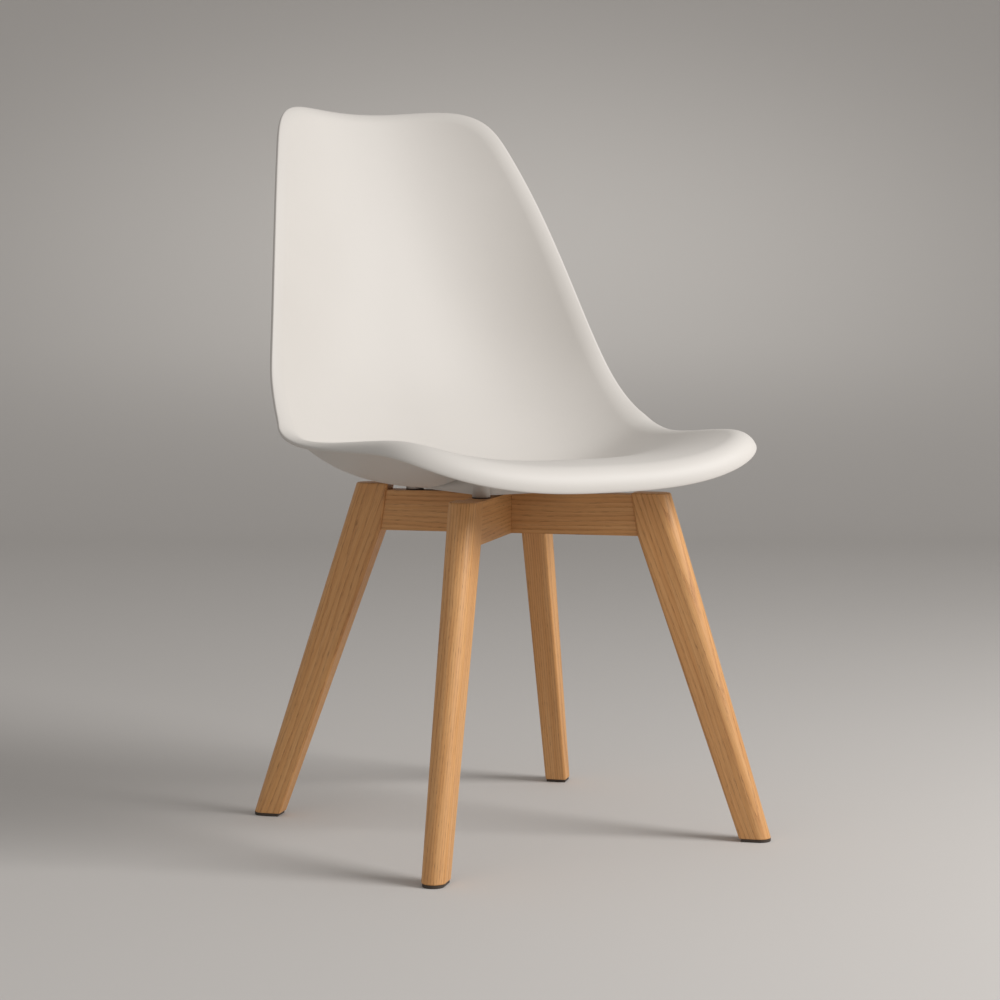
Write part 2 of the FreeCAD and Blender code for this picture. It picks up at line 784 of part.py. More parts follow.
def make_bolt(corner, turn, end):
    length = "(%s + bolt_engagement - %s)" % (boss_face, bolt_seat)
    body = turned("Bolt_" + corner, [
        ("0", "-bolt_head_height"),
        ("bolt_head_diameter / 2 - bolt_chamfer", "-bolt_head_height"),
        ("bolt_head_diameter / 2", "-bolt_head_height + bolt_chamfer"),
        ("bolt_head_diameter / 2", "0.0"),
        ("bolt_diameter / 2", "0.0"),
        ("bolt_diameter / 2", "%s - bolt_chamfer" % length),
        ("bolt_diameter / 2 - bolt_chamfer", length),
        ("0", length),
    ])
    socket = new_sketch(body, "XY_Plane", "-bolt_head_height + bolt_socket_depth")
    half, corner_x = "bolt_socket_across / 2", "bolt_socket_across / sqrt(3)"
    short = "bolt_socket_across / sqrt(12)"
    polygon(socket, [(corner_x, "0"), (short, half), ("-" + short, half),
                     ("-" + corner_x, "0"), ("-" + short, "-" + half), (short, "-" + half)])
    pocket(body, socket)
    place = on_diagonal(turn, worth(bolt_reach(end)), worth(bolt_seat))
    keep(body, "seat_bolt_" + corner, place)


def make_washers(corner, turn, end):
    reach = worth(bolt_reach(end))
    flat = ring("Washer_" + corner, "washer_diameter", bolt_hole, "washer_thick")
    keep(flat, "flat_washer_" + corner,
         on_diagonal(turn, reach, worth("%s - washer_thick" % counterbore_face)))
    spring = ring("SpringWasher_" + corner, "spring_washer_diameter", bolt_hole,
                  "spring_washer_thick")
    split = new_sketch(spring, "XY_Plane")
    half = "spring_washer_split / 2"
    polygon(split, [("0", "-" + half), ("spring_washer_diameter", "-" + half),
                    ("spring_washer_diameter", half), ("0", half)])
    pocket(spring, split, reverse=True)
    keep(spring, "spring_washer_" + corner, on_diagonal(turn, reach, worth(bolt_seat)))


def make_spacer(corner, turn, end):
    spacer = ring("Spacer_" + corner, "spacer_diameter", bolt_hole, "spacer_thick")
    place = on_diagonal(turn, worth(bolt_reach(end)), size("frame_top"))
    keep(spacer, "rubber_spacer_" + corner, place)


def make_insert(corner, turn, end):
    bore = "bolt_diameter / 2 + bolt_thread_clearance"
    body = turned("Insert_" + corner, [
        (bore, "0.0"),
        ("insert_collar_diameter / 2", "0.0"),
        ("insert_collar_diameter / 2", "insert_collar_thick"),
        ("insert_diameter / 2", "insert_collar_thick"),
        ("insert_diameter / 2", "insert_length"),
        (bore, "insert_length"),
    ])
    place = on_diagonal(turn, worth(bolt_reach(end)), worth(boss_face))
    keep(body, "threaded_insert_" + corner, place)


# Make everything

make_shell()
make_rail("cross_rail_right", corners["front_right"][0], notch_up=False)
make_rail("cross_rail_left", corners["front_left"][0], notch_up=True)
for corner, (turn, end) in corners.items():
    make_leg(corner, turn, end)
    make_dowels(corner, turn, end)
    make_glide(corner, turn, end)
    make_nail(corner, turn, end)
    make_bolt(corner, turn, end)
    make_washers(corner, turn, end)
    make_spacer(corner, turn, end)
    make_insert(corner, turn, end)
document.recompute()

# Nothing is written unless every object is sound
for item in document.Objects:
    if "Invalid" in item.State or "Error" in item.State:
        raise RuntimeError("%s is in a failed state" % item.Name)
for node in nodes:
    if node.Shape.isNull() or not node.Shape.isValid() or len(node.Shape.Solids) != 1:
        raise RuntimeError("%s has no sound shape" % node.Label)
for node in nodes:
    node.Shape.exportStep("parts/%s.step" % node.Label)
print("%d pieces written" % len(nodes))
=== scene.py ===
import json
import math

import bmesh
import bpy
import numpy as np
from mathutils import Euler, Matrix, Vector
from mathutils.bvhtree import BVHTree


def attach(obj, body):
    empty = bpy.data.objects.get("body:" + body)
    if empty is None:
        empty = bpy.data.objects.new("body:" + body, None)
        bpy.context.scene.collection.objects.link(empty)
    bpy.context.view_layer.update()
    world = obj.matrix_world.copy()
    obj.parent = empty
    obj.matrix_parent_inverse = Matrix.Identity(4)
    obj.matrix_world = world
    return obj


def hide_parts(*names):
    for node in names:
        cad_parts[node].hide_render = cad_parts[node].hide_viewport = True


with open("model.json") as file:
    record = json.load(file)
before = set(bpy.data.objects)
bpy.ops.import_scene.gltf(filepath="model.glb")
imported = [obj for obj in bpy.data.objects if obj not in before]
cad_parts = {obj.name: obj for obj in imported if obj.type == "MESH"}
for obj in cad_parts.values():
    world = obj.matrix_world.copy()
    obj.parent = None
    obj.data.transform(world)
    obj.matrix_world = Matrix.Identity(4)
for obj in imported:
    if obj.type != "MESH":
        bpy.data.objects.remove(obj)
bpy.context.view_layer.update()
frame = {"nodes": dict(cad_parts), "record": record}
nodes = frame["nodes"]
mm = 0.001          # shapes below are worked out in millimetres
print("frame loaded:", len(nodes), "nodes")


# Shader maths: a socket that adds, multiplies and so on as Python numbers do
class Value:
    def __init__(self, tree, socket):
        self.tree, self.socket = tree, socket

    def maths(self, operation, *terms):
        node = self.tree.nodes.new("ShaderNodeMath")
        node.operation = operation
        for slot, term in zip(node.inputs, terms):
            if isinstance(term, Value):
                self.tree.links.new(term.socket, slot)
            else:
                slot.default_value = term
        return Value(self.tree, node.outputs[0])

    def __add__(self, other):
        return self.maths("ADD", self, other)

    def __radd__(self, other):
        return self.maths("ADD", other, self)

    def __sub__(self, other):
        return self.maths("SUBTRACT", self, other)

    def __rsub__(self, other):
        return self.maths("SUBTRACT", other, self)

    def __mul__(self, other):
        return self.maths("MULTIPLY", self, other)

    def __rmul__(self, other):
        return self.maths("MULTIPLY", other, self)

    def __truediv__(self, other):
        return self.maths("DIVIDE", self, other)

    def __pow__(self, other):
        return self.maths("POWER", self, other)

    def part(self):             # what is left after the whole number
        return self.maths("FRACT", self)

    def root(self):
        return self.maths("SQRT", self)

    def between(self, low, high):       # 0 at low, 1 at high, smooth in between
        node = self.tree.nodes.new("ShaderNodeMapRange")
        node.interpolation_type = "SMOOTHSTEP"
        self.tree.links.new(self.socket, node.inputs["Value"])
        node.inputs["From Min"].default_value = low
        node.inputs["From Max"].default_value = high
        return Value(self.tree, node.outputs["Result"])


class Finish:
    def __init__(self, name, **fixed):
        self.material = bpy.data.materials.new(name)
        self.material.use_nodes = True
        self.tree = self.material.node_tree
        self.shader = self.tree.nodes["Principled BSDF"]
        for socket, value in fixed.items():     # constants sit on the shader's own sockets
            self.shader.inputs[socket.replace("_", " ")].default_value = value

    def node(self, kind, settings, inputs, output):
        made = self.tree.nodes.new(kind)
        for name, value in settings.items():
            setattr(made, name, value)
        for name, value in inputs.items():
            if isinstance(value, Value):
                self.tree.links.new(value.socket, made.inputs[name])
            else:
                made.inputs[name].default_value = value
        return Value(self.tree, made.outputs[output])

    def place(self):
        return self.node("ShaderNodeTexCoord", {}, {}, "Object")

    def attribute(self, name):
        return self.node("ShaderNodeAttribute", {"attribute_name": name}, {}, "Vector")

    def scaled(self, place, x, y, z):
        return self.node("ShaderNodeMapping", {}, {"Vector": place, "Scale": (x, y, z)}, "Vector")

    def axes(self, place):
        node = self.tree.nodes.new("ShaderNodeSeparateXYZ")
        self.tree.links.new(place.socket, node.inputs[0])
        return [Value(self.tree, out) for out in node.outputs]

    def noise(self, place, scale, detail=2.0, roughness=0.5):
        return self.node("ShaderNodeTexNoise", {}, {
            "Vector": place, "Scale": scale, "Detail": detail, "Roughness": roughness}, "Fac")

    def blend(self, share, first, second, how="MIX"):       # two colours
        made = self.tree.nodes.new("ShaderNodeMix")
        made.data_type = "RGBA"
        made.blend_type = how
        for index, value in ((0, share), (6, first), (7, second)):
            if isinstance(value, Value):
                self.tree.links.new(value.socket, made.inputs[index])
            else:
                made.inputs[index].default_value = value
        return Value(self.tree, made.outputs[2])

    def bump(self, height, strength, distance):
        return self.node("ShaderNodeBump", {}, {
            "Height": height, "Strength": strength, "Distance": distance}, "Normal")

    def feed(self, **links):
        for socket, value in links.items():
            self.tree.links.new(value.socket, self.shader.inputs[socket.replace("_", " ")])
        return self.material


def shade(red, green, blue):        # a colour as a screen shows it, 0 to 255, made linear
    return tuple(((c / 255 + 0.055) / 1.055) ** 2.4 for c in (red, green, blue)) + (1.0,)


# Finishes

def shellPlastic():
    finish = Finish("shellPlastic", Roughness=0.5, IOR=1.46)
    place = finish.place()
    cloud = finish.noise(place, 9.0, 3.0)
    grain = finish.noise(place, 900.0, 2.0, 0.6)
    colour = finish.blend(cloud, shade(200, 195, 189), shade(204, 199, 193))
    rough = 0.50 + 0.06 * cloud + 0.04 * grain
    bump = finish.bump(grain, 0.12, 0.0002)
    return finish.feed(Base_Color=colour, Roughness=rough, Normal=bump)


def oak():
    # the grain attribute runs along the piece in x, across it in y and z
    finish = Finish("oak", IOR=1.5)
    grain = finish.attribute("grain")
    drift = finish.noise(finish.scaled(grain, 3.2, 22.0, 22.0), 1.0, 3.0)
    y, z = finish.axes(grain)[1:]
    pithAside, pithBehind, waver, ringsPerMetre = 0.012, 0.045, 0.012, 330.0
    fromPith = ((y + pithAside) ** 2 + (z + pithBehind) ** 2).root() + waver * drift
    year = (fromPith * ringsPerMetre).part()
    early = 1.0 - year.between(0.0, 0.55)
    fibre = finish.noise(finish.scaled(grain, 26.0, 1500.0, 1500.0), 1.0, 2.0)
    streak = finish.noise(finish.scaled(grain, 5.0, 240.0, 240.0), 1.0, 3.0, 0.6)
    poreField = finish.noise(finish.scaled(grain, 90.0, 1700.0, 1700.0), 1.0, 1.0)
    pores = poreField.between(0.56, 0.68) * (0.25 + 0.75 * early)
    patch = finish.noise(finish.scaled(grain, 5.0, 18.0, 18.0), 1.0, 2.0)
    colour = finish.blend(patch, shade(196, 139, 82), shade(214, 159, 99))
    colour = finish.blend(early * 0.45, colour, shade(164, 105, 56))
    colour = finish.blend(streak.between(0.35, 0.75) * 0.35, colour, shade(232, 186, 130))
    colour = finish.blend(fibre.between(0.4, 0.75) * 0.25, colour, shade(160, 112, 68))
    colour = finish.blend(pores * 0.55, colour, shade(112, 74, 43))
    rough = 0.44 + 0.16 * pores + 0.08 * fibre
    relief = finish.bump(1.0 - 0.8 * pores - 0.2 * fibre, 0.35, 0.0003)
    return finish.feed(Base_Color=colour, Roughness=rough, Normal=relief)


def beech():
    finish = Finish("beech", IOR=1.5)
    place = finish.place()
    fleck = finish.noise(place, 700.0, 3.0)
    colour = finish.blend(fleck, shade(205, 170, 128), shade(224, 192, 150))
    return finish.feed(Base_Color=colour, Roughness=0.55 + 0.15 * fleck,
                       Normal=finish.bump(fleck, 0.2, 0.0002))


def metal(name, dark, light, base, spread):
    finish = Finish(name, Metallic=1.0)
    place = finish.place()
    cloud = finish.noise(place, 220.0, 3.0)
    scratch = finish.noise(place, 2600.0, 2.0)
    colour = finish.blend(cloud, dark, light)
    return finish.feed(Base_Color=colour, Roughness=base + spread * cloud + 0.05 * scratch,
                       Normal=finish.bump(scratch, 0.1, 0.0001))


def darkPolymer(name, dark, light, base):
    finish = Finish(name, IOR=1.5)
    place = finish.place()
    grain = finish.noise(place, 1400.0, 2.0)
    cloud = finish.noise(place, 120.0, 2.0)
    colour = finish.blend(cloud, dark, light)
    return finish.feed(Base_Color=colour, Roughness=base + 0.12 * grain,
                       Normal=finish.bump(grain, 0.25, 0.0002))


finishes = {
    "shell_plastic": shellPlastic(),
    "oak_wood": oak(),
    "beech_wood": beech(),
    "zinc_steel": metal("zincSteel", shade(150, 153, 156), shade(196, 198, 200), 0.30, 0.14),
    "insert_brass": metal("insertBrass", shade(176, 138, 66), shade(214, 178, 102), 0.28, 0.12),
    "spacer_rubber": darkPolymer("spacerRubber", shade(52, 51, 50), shade(66, 65, 64), 0.70),
    "glide_plastic": darkPolymer("glidePlastic", shade(52, 42, 34), shade(72, 60, 50), 0.50),
}
print("finishes made:", len(finishes))

# bearing of each corner's leg from the rails' crossing, in degrees
corners = {
    "front_right": (225, "front"),
    "front_left": (315, "front"),
    "rear_left": (45, "rear"),
    "rear_right": (135, "rear"),
}


# Meshes from grids of points

def gridFaces(rows, columns, closed=False, flipped=False, start=0):
    # each face joins the four neighbours (i, j), (i, j + 1), (i + 1, j + 1), (i + 1, j)
    i, j = np.meshgrid(np.arange(rows - 1), np.arange(columns if closed else columns - 1),
                       indexing="ij")
    after = (j + 1) % columns
    faces = np.stack([i * columns + j, i * columns + after, (i + 1) * columns + after,
                      (i + 1) * columns + j], axis=-1).reshape(-1, 4) + start
    return faces[:, ::-1] if flipped else faces


def makePiece(name, parts, slot, weld=0.01, attributes=None, replaced=()):
    # parts are pairs of points in millimetres and faces; they are joined and welded
    points = np.concatenate([np.asarray(p).reshape(-1, 3) for p, f in parts])
    faces, start = [], 0
    for p, f in parts:
        faces += (np.asarray(f) + start).tolist()
        start += np.asarray(p).reshape(-1, 3).shape[0]
    mesh = bpy.data.meshes.new(name)
    mesh.from_pydata((points * mm).tolist(), [], faces)
    for label, values in (attributes or {}).items():
        layer = mesh.attributes.new(label, "FLOAT_VECTOR", "POINT")
        layer.data.foreach_set("vector", np.asarray(values, np.float32).reshape(-1))
    work = bmesh.new()
    work.from_mesh(mesh)
    bmesh.ops.remove_doubles(work, verts=work.verts, dist=weld * mm)
    bmesh.ops.recalc_face_normals(work, faces=work.faces)
    work.to_mesh(mesh)
    work.free()
    mesh.shade_smooth()
    mesh.materials.append(finishes[slot])
    piece = bpy.data.objects.new(name, mesh)
    bpy.context.scene.collection.objects.link(piece)
    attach(piece, "root")
    if replaced:
        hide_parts(*replaced)
    return piece


# Seat shell: a sheet over length along its centre line, from the front edge over the seat to the
# top of the back, and width x, which is 0 in the middle

shell = {
    "crossingY": -59.3, "railTop": 385, "railBottom": 339,
    "wall": 5, "edgeBulge": 1.35,
    "lipRadius": 24, "lipTurnFront": 88, "lipTurnSide": 38, "lipFade": 505,
    "frontRound": 104, "frontFullness": 3.1, "crownRound": 85, "crownFullness": 3.8,
    "band": 44,                     # how far in from the rim the fine rows reach
    "acrossSteps": 90, "alongSteps": 150, "lipRows": 14, "bandRows": 18, "edgeRows": 8,
    "lengthTable": 4001, "roundTable": 400, "sideTable": 600,
}
# reach behind the crossing, rise over the rails, half width, wrap of the sides, lateness of it
shellRibs = {
    "nose": (-226, 36.5, 225, 28.5, 2.45),
    "front": (-167, 45, 226, 33, 2.75),
    "thigh": (-72, 33, 234.5, 42.5, 2.9),
    "seat": (29, 9, 239.5, 65, 3),
    "bend": (108, 19, 236, 73.5, 3.35),
    "hip": (172, 76.5, 225, 72, 2.8),
    "lumbar": (220, 162, 208, 74.5, 2.65),
    "shoulder": (271, 308, 174, 64, 2.2),
    "crown": (332, 444, 129, 48, 2.15),
}


def splineThrough(values):
    # natural cubic spline through values at 0, 1, 2 and so on
    values = np.asarray(values, float)
    last = len(values) - 1
    bands = np.eye(last + 1)
    turns = np.zeros(last + 1)
    for i in range(1, last):
        bands[i, i - 1:i + 2] = 1, 4, 1
        turns[i] = 6 * (values[i - 1] - 2 * values[i] + values[i + 1])
    bends = np.linalg.solve(bands, turns)

    def curve(at):
        i = np.clip(np.floor(at).astype(int), 0, last - 1)
        f = at - i
        g = 1 - f
        return (g * values[i] + f * values[i + 1]
                + ((g ** 3 - g) * bends[i] + (f ** 3 - f) * bends[i + 1]) / 6)
    return curve


ribCurves = [splineThrough(column) for column in zip(*shellRibs.values())]
fineSteps = np.linspace(0, len(shellRibs) - 1, shell["lengthTable"])
centreRun = np.hypot(np.diff(ribCurves[0](fineSteps)), np.diff(ribCurves[1](fineSteps)))
centreLengths = np.concatenate([[0], np.cumsum(centreRun)])
shellLength = centreLengths[-1]


def ribPlace(length):
    slope = fineSteps[-1] / shellLength
    inside = np.interp(length, centreLengths, fineSteps)
    beyond = np.minimum(length, 0) + np.maximum(length - shellLength, 0)
    return inside + slope * beyond


def baseSheet(length, x):
    # centre line point + its normal times wrap * (|x| / half) ** bow
    place = ribPlace(length)
    reach, rise, half, wrap, bow = [curve(place) for curve in ribCurves]
    step = 0.01
    runY = ribCurves[0](place + step) - ribCurves[0](place - step)
    runZ = ribCurves[1](place + step) - ribCurves[1](place - step)
    run = np.hypot(runY, runZ)
    lift = wrap * (np.abs(x) / half) ** bow
    return np.stack([x, reach - lift * runZ / run + shell["crossingY"],
                     rise + lift * runY / run + shell["railTop"]], axis=-1)


def unit(vectors):
    return vectors / np.linalg.norm(vectors, axis=-1, keepdims=True)


def sheetDirections(length, x):
    nudge = 0.5
    along = baseSheet(length + nudge, x) - baseSheet(length - nudge, x)
    across = baseSheet(length, x + nudge) - baseSheet(length, x - nudge)
    return unit(along), unit(across), unit(np.cross(across, along))


def halfOutline():
    # superellipse quarters at the front and the crown, rib half widths times 1 between them
    angle = np.linspace(0, math.pi / 2, shell["roundTable"])
    front, crown = shell["frontRound"], shell["crownRound"]
    frontPower, crownPower = 2 / shell["frontFullness"], 2 / shell["crownFullness"]
    straight = np.linspace(front, shellLength - crown, shell["sideTable"])[1:-1]
    length = np.concatenate([front * (1 - np.cos(angle) ** frontPower), straight,
                             shellLength - crown * (1 - np.cos(angle[::-1]) ** crownPower)])
    share = np.concatenate([np.sin(angle) ** frontPower, np.ones_like(straight),
                            np.sin(angle[::-1]) ** crownPower])
    return length, share * ribCurves[2](ribPlace(length)), len(angle)


def closedOutline():
    # even steps round the rim, with the patch's corners halfway round the four rounded ends
    length, half, corner = halfOutline()
    ways = np.concatenate([[0], np.cumsum(np.hypot(np.diff(length), np.diff(half)))])
    first, second = ways[corner // 2], ways[-1 - corner // 2]
    across, along = shell["acrossSteps"], shell["alongSteps"]
    stops = np.concatenate([np.linspace(0, first, across // 2 + 1),
                            np.linspace(first, second, along + 1)[1:],
                            np.linspace(second, ways[-1], across // 2 + 1)[1:]])
    l, x = np.interp(stops, ways, length), np.interp(stops, ways, half)
    l = np.concatenate([l, l[-2:0:-1]])
    x = np.concatenate([x, -x[-2:0:-1]])
    # direction outwards in the plane of length and x, square to the outline's own run
    runL, runX = np.roll(l, -1) - np.roll(l, 1), np.roll(x, -1) - np.roll(x, 1)
    run = np.hypot(runL, runX)
    return l, x, -runX / run, runL / run


def lipTurn(length):
    # the rim turns down by lipTurnFront at the front, easing to lipTurnSide over lipFade
    fade = np.clip(1 - length / shell["lipFade"], 0, 1)
    fade = fade * fade * (3 - 2 * fade)
    return np.radians(shell["lipTurnSide"] + (shell["lipTurnFront"] - shell["lipTurnSide"]) * fade)


rimLength, rimX, outLength, outX = closedOutline()
rimTurn = lipTurn(rimLength)


def bandPoints(angle, gap, depth):
    # angle is how far the rim has turned down there, gap is the distance to the outline, and
    # depth is how far below the upper face the points lie
    length, x = rimLength - outLength * gap, rimX - outX * gap
    along, across, normal = sheetDirections(length, x)
    outwards = unit(along * outLength[:, None] + across * outX[:, None])
    radius = shell["lipRadius"]
    cos, sin = np.cos(angle)[:, None], np.sin(angle)[:, None]
    tilted = normal * cos + outwards * sin
    point = baseSheet(length, x) - normal * radius * (1 - cos)
    return point - tilted * depth, tilted, outwards * cos - normal * sin


def bandRows(depth):
    # rows of equal turn round the lip, then rows of equal width to the band's inner line
    rows = []
    radius = shell["lipRadius"]
    for k in range(shell["lipRows"] + 1):
        angle = rimTurn * (1 - k / shell["lipRows"])
        rows.append(bandPoints(angle, radius * (np.sin(rimTurn) - np.sin(angle)), depth)[0])
    reach = radius * np.sin(rimTurn)
    for k in range(1, shell["bandRows"] + 1):
        gap = reach + (shell["band"] - reach) * k / shell["bandRows"]
        rows.append(bandPoints(0 * rimTurn, gap, depth)[0])
    return np.array(rows)


def middlePatch(depth):
    # Coons patch in length and x between the band's inner lines, then put on the sheet
    l, x = rimLength - outLength * shell["band"], rimX - outX * shell["band"]
    across, along = shell["acrossSteps"], shell["alongSteps"]
    half = across // 2
    order = np.arange(len(l))
    front = np.roll(order, half)[:across + 1]
    left = order[half:half + along + 1]
    crown = order[half + along:half + along + across + 1]
    right = order[np.arange(len(l) - half, len(l) - half - along - 1, -1)]
    ring = np.stack([l, x], axis=-1)
    front, crown, left, right = ring[front], ring[crown][::-1], ring[left], ring[right]
    a = np.linspace(0, 1, along + 1)[:, None, None]
    b = np.linspace(0, 1, across + 1)[None, :, None]
    grid = ((1 - b) * right[:, None] + b * left[:, None] + (1 - a) * front[None] + a * crown[None]
            - (1 - a) * ((1 - b) * front[0] + b * front[-1])
            - a * ((1 - b) * crown[0] + b * crown[-1]))
    length, x = grid[..., 0], grid[..., 1]
    normal = sheetDirections(length, x)[2]
    return baseSheet(length, x) - normal * depth


def edgeRows():
    # half an ellipse from the upper rim to the lower one, standing out by edgeBulge
    point, tilted, outwards = bandPoints(rimTurn, 0 * rimTurn, shell["wall"] / 2)
    rows = []
    for k in range(shell["edgeRows"] + 1):
        turn = math.pi * k / shell["edgeRows"]
        rows.append(point + tilted * shell["wall"] / 2 * math.cos(turn)
                    + outwards * shell["edgeBulge"] * math.sin(turn))
    return np.array(rows)


# Under the seat four bosses take the inserts, and ribs join them; each follows the sheet above

boss = {
    "frontReach": 99.86, "rearReach": 104.06, "face": 386.5, "radius": 10,
    "hole": 4.35, "holeDepth": 7.6, "collar": 5.25, "collarDepth": 0.85,
    "ribThick": 2.6, "ribSetback": 1.5, "ribSteps": 40, "ribInset": 0.03,
    "sunk": 2, "castFrom": 60, "steps": 48,
}


def heightAbove(tree, points):
    # height of the sheet's lower face over each point, and a little more, so they overlap
    up = Vector((0, 0, 1))
    low = boss["face"] - boss["castFrom"]
    heights = [tree.ray_cast(Vector((*point, low)), up)[0].z for point in points.tolist()]
    return np.array(heights) + boss["sunk"]


def bossSpot(turn, end):
    angle, reach = math.radians(turn), boss[end + "Reach"]
    return np.array([reach * math.cos(angle), reach * math.sin(angle) + shell["crossingY"]])


def makeBoss(tree, spot):
    # rows run from the bottom of the hole outwards and up the side, and start and end in a point
    angle = np.linspace(0, 2 * math.pi, boss["steps"], endpoint=False)
    circle = np.stack([np.cos(angle), np.sin(angle)], axis=-1)
    rim = spot + circle * boss["radius"]
    face, deep = boss["face"], boss["face"] + boss["holeDepth"]
    step = boss["face"] + boss["collarDepth"]
    rows = [(0, deep), (boss["hole"], deep), (boss["hole"], step), (boss["collar"], step),
            (boss["collar"], face), (boss["radius"], face)]
    walls = [np.column_stack([spot + circle * r, np.full(len(angle), z)]) for r, z in rows]
    top = heightAbove(tree, rim)
    walls.append(np.column_stack([rim, top]))
    walls.append(np.tile([*spot, top.mean()], (len(angle), 1)))
    walls = np.array(walls)
    return walls, gridFaces(len(walls), len(angle), closed=True)


def makeRib(tree, start, end):
    # a thin upright plate: its section goes round four corners and is carried from end to end
    along = (end - start) / np.linalg.norm(end - start)
    side = np.array([-along[1], along[0]]) * boss["ribThick"] / 2
    share = np.linspace(boss["ribInset"], 1 - boss["ribInset"], boss["ribSteps"])
    middle = start + (end - start) * share[:, None]
    low = np.full(len(middle), boss["face"] + boss["ribSetback"])
    left, right = middle + side, middle - side
    corners = [np.column_stack([left, low]), np.column_stack([right, low]),
               np.column_stack([right, heightAbove(tree, right)]),
               np.column_stack([left, heightAbove(tree, left)])]
    plate = np.stack(corners, axis=1)
    ends = [np.tile(ring.mean(axis=0), (1, len(ring), 1)) for ring in (plate[0], plate[-1])]
    plate = np.concatenate([ends[0], plate, ends[1]])
    return plate, gridFaces(len(plate), len(corners), closed=True)


def makeMountings(sheet, faces):
    tree = BVHTree.FromPolygons(sheet.reshape(-1, 3).tolist(), faces.tolist())
    spots = [bossSpot(*place) for place in corners.values()]
    parts = [makeBoss(tree, spot) for spot in spots]
    return parts + [makeRib(tree, spot, spots[i - 1]) for i, spot in enumerate(spots)]


def makeShell():
    count = len(rimLength)
    parts = []
    for depth, flipped in ((0, False), (shell["wall"], True)):
        band, patch = bandRows(depth), middlePatch(depth)
        parts.append((band, gridFaces(len(band), count, closed=True, flipped=flipped)))
        parts.append((patch, gridFaces(*patch.shape[:2], flipped=not flipped)))
    parts += makeMountings(*parts[-1])
    edge = edgeRows()
    parts.append((edge, gridFaces(len(edge), count, closed=True)))
    return makePiece("seatShell", parts, "shell_plastic", replaced=["seat_shell"])


makeShell()
print("shell made")


# Legs: a level section that is flat inside and half round outside, carried up a straight line,
# with its inner side cut steeper where the rail meets it

leg = {
    "topWidth": 51, "topThick": 31, "footWidth": 34, "footThick": 26, "edgeRadius": 3,
    "frontFootReach": 274, "rearFootReach": 267, "frontHeadReach": 141, "rearHeadReach": 124,
    "jointLean": 9, "glideThick": 3.5, "footRound": 1.2, "topRound": 1.6, "kinkEase": 2,
    "sideSteps": 10, "arcSteps": 28, "edgeSteps": 5, "rows": 48, "headRows": 10, "roundSteps": 4,
    "kinkRows": 7, "endMargin": 2,
}


def legOutline(width, thick):
    # section from the inner face at x 0: corner arcs, straight sides and an outer half circle
    r, half = leg["edgeRadius"], thick / 2
    turn = np.linspace(0, math.pi / 2, leg["edgeSteps"] + 1)
    side = np.linspace(0, 1, leg["sideSteps"] + 1)[1:-1]
    arc = np.linspace(-math.pi / 2, math.pi / 2, leg["arcSteps"] + 1)
    x = [r - r * np.cos(turn), r + side * (width - half - r), width - half + half * np.cos(arc),
         (r + side * (width - half - r))[::-1], (r - r * np.cos(turn))[::-1],
         np.zeros(leg["sideSteps"] - 1)]
    y = [-half + r - r * np.sin(turn), np.full(len(side), -half), half * np.sin(arc),
         np.full(len(side), half), (half - r + r * np.sin(turn))[::-1],
         (half - r) * (1 - 2 * side)]
    return np.stack([np.concatenate(x), np.concatenate(y)], axis=-1)


def inset(outline, amount):
    # every point moves inwards, square to the outline's run
    run = unit(np.roll(outline, -1, axis=0) - np.roll(outline, 1, axis=0))
    return outline + np.stack([-run[:, 1], run[:, 0]], axis=-1) * amount


def legSection(height, end):
    # every measure runs in a straight line from the foot to the rails' top
    share = height / shell["railTop"]
    footReach, headReach = leg[end + "FootReach"], leg[end + "HeadReach"]
    inner = footReach + (headReach - footReach) * share
    outer = inner + leg["footWidth"] + (leg["topWidth"] - leg["footWidth"]) * share
    thick = leg["footThick"] + (leg["topThick"] - leg["footThick"]) * share
    kink = shell["railBottom"] / shell["railTop"]
    flat = (footReach + (headReach - footReach) * kink
            - (height - shell["railBottom"]) * math.tan(math.radians(leg["jointLean"])))
    # the larger of the two reaches, eased over kinkEase so that the corner isn't knife sharp
    gap = flat - inner
    inner = inner + (gap + math.hypot(gap, leg["kinkEase"] / 4)) / 2
    return legOutline(outer - inner, thick) + [inner, 0]


def makeLeg(corner, turn, end):
    top = cornerPoints(nodes["leg_" + corner], turn)[:, 2].max()
    low, kink = leg["glideThick"], shell["railBottom"]
    turns = np.linspace(0, math.pi / 2, leg["roundSteps"] + 1)
    rings = []
    for angle in turns:
        r = leg["footRound"]
        height = low + r * (1 - math.cos(angle))
        rings.append((height, r * (1 - math.sin(angle))))
    ease, margin = leg["kinkEase"], leg["endMargin"]
    heights = [np.linspace(low + margin, kink - ease, leg["rows"]),
               np.linspace(kink - ease, kink + ease, leg["kinkRows"])[1:-1],
               np.linspace(kink + ease, top - margin, leg["headRows"])]
    rings += [(height, 0) for height in np.concatenate(heights)]
    for angle in turns[::-1]:
        r = leg["topRound"]
        rings.append((top - r * (1 - math.cos(angle)), r * (1 - math.sin(angle))))
    walls = []
    for height, inwards in rings:
        outline = inset(legSection(height, end), inwards)
        walls.append(np.column_stack([outline, np.full(len(outline), height)]))
    walls = np.array(walls)
    ends = [np.stack([cap, cap * 0 + cap.mean(axis=0)]) for cap in (walls[0], walls[-1])]
    count = walls.shape[1]
    parts = [(walls, gridFaces(len(walls), count, closed=True)),
             (ends[0], gridFaces(2, count, closed=True, flipped=True)),
             (ends[1], gridFaces(2, count, closed=True))]
    grain = [grainOf(p, leg[end + "FootReach"], leg[end + "HeadReach"], turn) for p, f in parts]
    parts = [(turned(p, turn), f) for p, f in parts]
    return makePiece("leg." + corner, parts, "oak_wood", attributes={"grain": np.concatenate(grain)},
                     replaced=["leg_" + corner])


